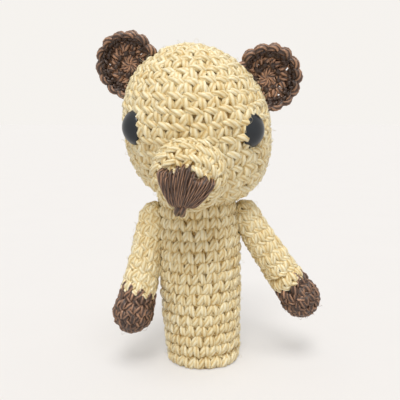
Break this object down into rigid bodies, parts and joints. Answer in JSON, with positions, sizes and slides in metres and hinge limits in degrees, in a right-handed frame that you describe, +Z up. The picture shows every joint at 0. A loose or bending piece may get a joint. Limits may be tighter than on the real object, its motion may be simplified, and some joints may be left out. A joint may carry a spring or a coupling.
{
  "type": "finger puppet",
  "caption": "Crocheted bear finger puppet: a hollow tube body open below, a stuffed head with muzzle, safety eyes and cupped ears, and stuffed arms with paws.",
  "frame": {"origin": "middle of the outline's box on the surface it stands on, in the plane of the body's bottom rim", "axes": "+Z up along the body, -Y towards the front of the bear, +X towards the bear's left"},
  "size_m": [0.0672, 0.0524, 0.0982],
  "materials": {
    "cream_yarn": "crocheted, slightly shiny",
    "brown_yarn": "crocheted",
    "black_plastic": "glossy",
    "white_plastic": "matte",
    "white_fibre": "loose fibre filling"
  },
  "bodies": {
    "root": {"body": "cream_yarn", "head": "cream_yarn", "head_stuffing": "white_fibre", "muzzle": "cream_yarn", "muzzle_stuffing": "white_fibre", "nose": "brown_yarn", "mouth_stitch": "brown_yarn", "left_ear": "brown_yarn", "right_ear": "brown_yarn", "left_eye": "black_plastic", "right_eye": "black_plastic", "left_eye_washer": "white_plastic", "right_eye_washer": "white_plastic", "left_arm": "cream_yarn", "right_arm": "cream_yarn", "left_paw": "brown_yarn", "right_paw": "brown_yarn", "left_arm_stuffing": "white_fibre", "right_arm_stuffing": "white_fibre"}
  },
  "joints": []
}
